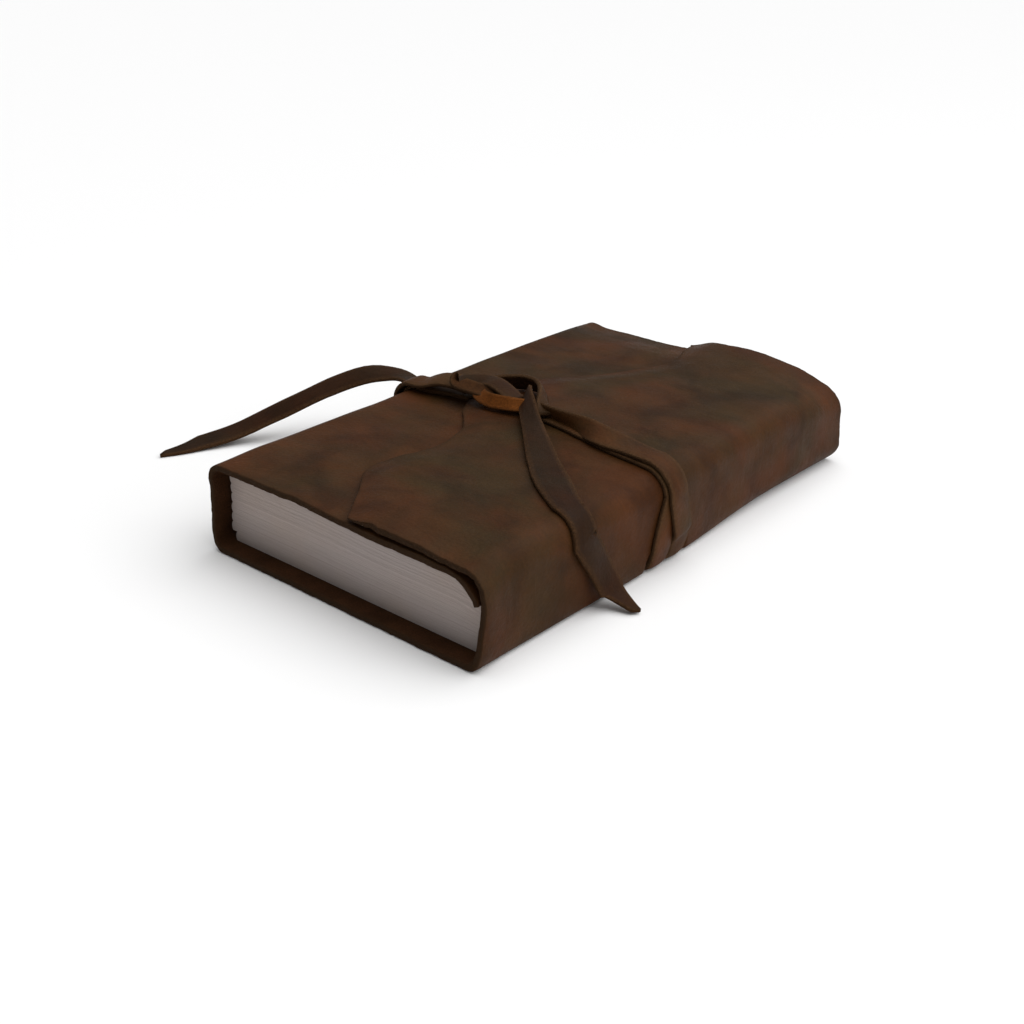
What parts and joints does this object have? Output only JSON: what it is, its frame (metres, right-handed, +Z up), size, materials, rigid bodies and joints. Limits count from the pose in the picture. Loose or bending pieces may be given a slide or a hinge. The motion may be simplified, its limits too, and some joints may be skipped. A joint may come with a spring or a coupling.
{
  "type": "leather notebook cover",
  "caption": "Soft leather wrap cover with a fold-over flap, a sewn page block inside and a flat leather thong wound round it and tied on top.",
  "frame": {"origin": "centre of the underside, on the surface the book lies on, measured without the thong's loose ends", "axes": "+X from the spine to the fore edge, +Y along the spine from the near end to the far end, +Z up through the front cover"},
  "size_m": [0.2267, 0.215, 0.0449],
  "materials": {
    "hide": "oiled pull-up leather, matt with a soft sheen and pale scuffs",
    "thong": "flat cut leather, smooth outside and fibrous at its edges",
    "paper": "uncoated paper, matt",
    "thread": "waxed linen thread"
  },
  "bodies": {
    "book": {"back_cover": "hide", "spine": "hide", "signature_2": "paper", "signature_3": "paper", "signature_4": "paper", "signature_5": "paper", "signature_6": "paper", "signature_7": "paper", "signature_8": "paper", "sewing_thread_1": "thread", "sewing_thread_2": "thread", "sewing_thread_3": "thread", "sewing_thread_4": "thread", "sewing_thread_5": "thread", "sewing_thread_6": "thread", "sewing_thread_7": "thread", "sewing_thread_8": "thread", "thong_inner_wrap": "thong", "thong_outer_wrap": "thong", "thong_inner_spine_bend": "thong", "thong_outer_spine_bend": "thong", "thong_inner_fore_bend_low": "thong", "thong_outer_fore_bend_low": "thong", "left_tail": "thong"},
    "front": {"front_cover": "hide", "thong_inner_front": "thong", "thong_outer_front": "thong"},
    "first_pages": {"signature_1": "paper"},
    "fore": {"fore_edge": "hide", "thong_inner_fore": "thong", "thong_outer_fore": "thong", "thong_inner_fore_bend_high": "thong", "thong_outer_fore_bend_high": "thong", "right_tail_bend": "thong", "right_tail_end": "thong"},
    "flap": {"flap": "hide", "thong_inner_flap": "thong", "thong_outer_flap": "thong", "bow_loop": "thong", "right_tail_flap": "thong"}
  },
  "joints": [
    {"name": "front_cover_open", "type": "hinge", "parent": "book", "child": "front", "pos_m": [-0.0601, 0, 0.0296], "axis": [0, -1, 0], "range_deg": [0, 165], "deforming": ["thong_inner_spine_bend", "thong_outer_spine_bend", "flap", "thong_inner_flap", "thong_outer_flap", "bow_loop", "right_tail_flap"]},
    {"name": "first_pages_turn", "type": "hinge", "parent": "book", "child": "first_pages", "pos_m": [-0.0601, 0, 0.0296], "axis": [0, -1, 0], "range_deg": [0, 156]},
    {"name": "fore_edge_fold", "type": "hinge", "parent": "book", "child": "fore", "pos_m": [0.05951, 0, 0.00249], "axis": [0, 1, 0], "range_deg": [0, 85], "deforming": ["thong_inner_fore_bend_low", "thong_outer_fore_bend_low"]},
    {"name": "flap_open", "type": "hinge", "parent": "fore", "child": "flap", "pos_m": [0.05951, 0, 0.03201], "axis": [0, 1, 0], "range_deg": [0, 90], "deforming": ["thong_inner_fore_bend_high", "thong_outer_fore_bend_high", "right_tail_bend"]}
  ],
  "couplings": [
    {"joint": "first_pages_turn", "follows": "front_cover_open", "ratio": 0.94}
  ]
}
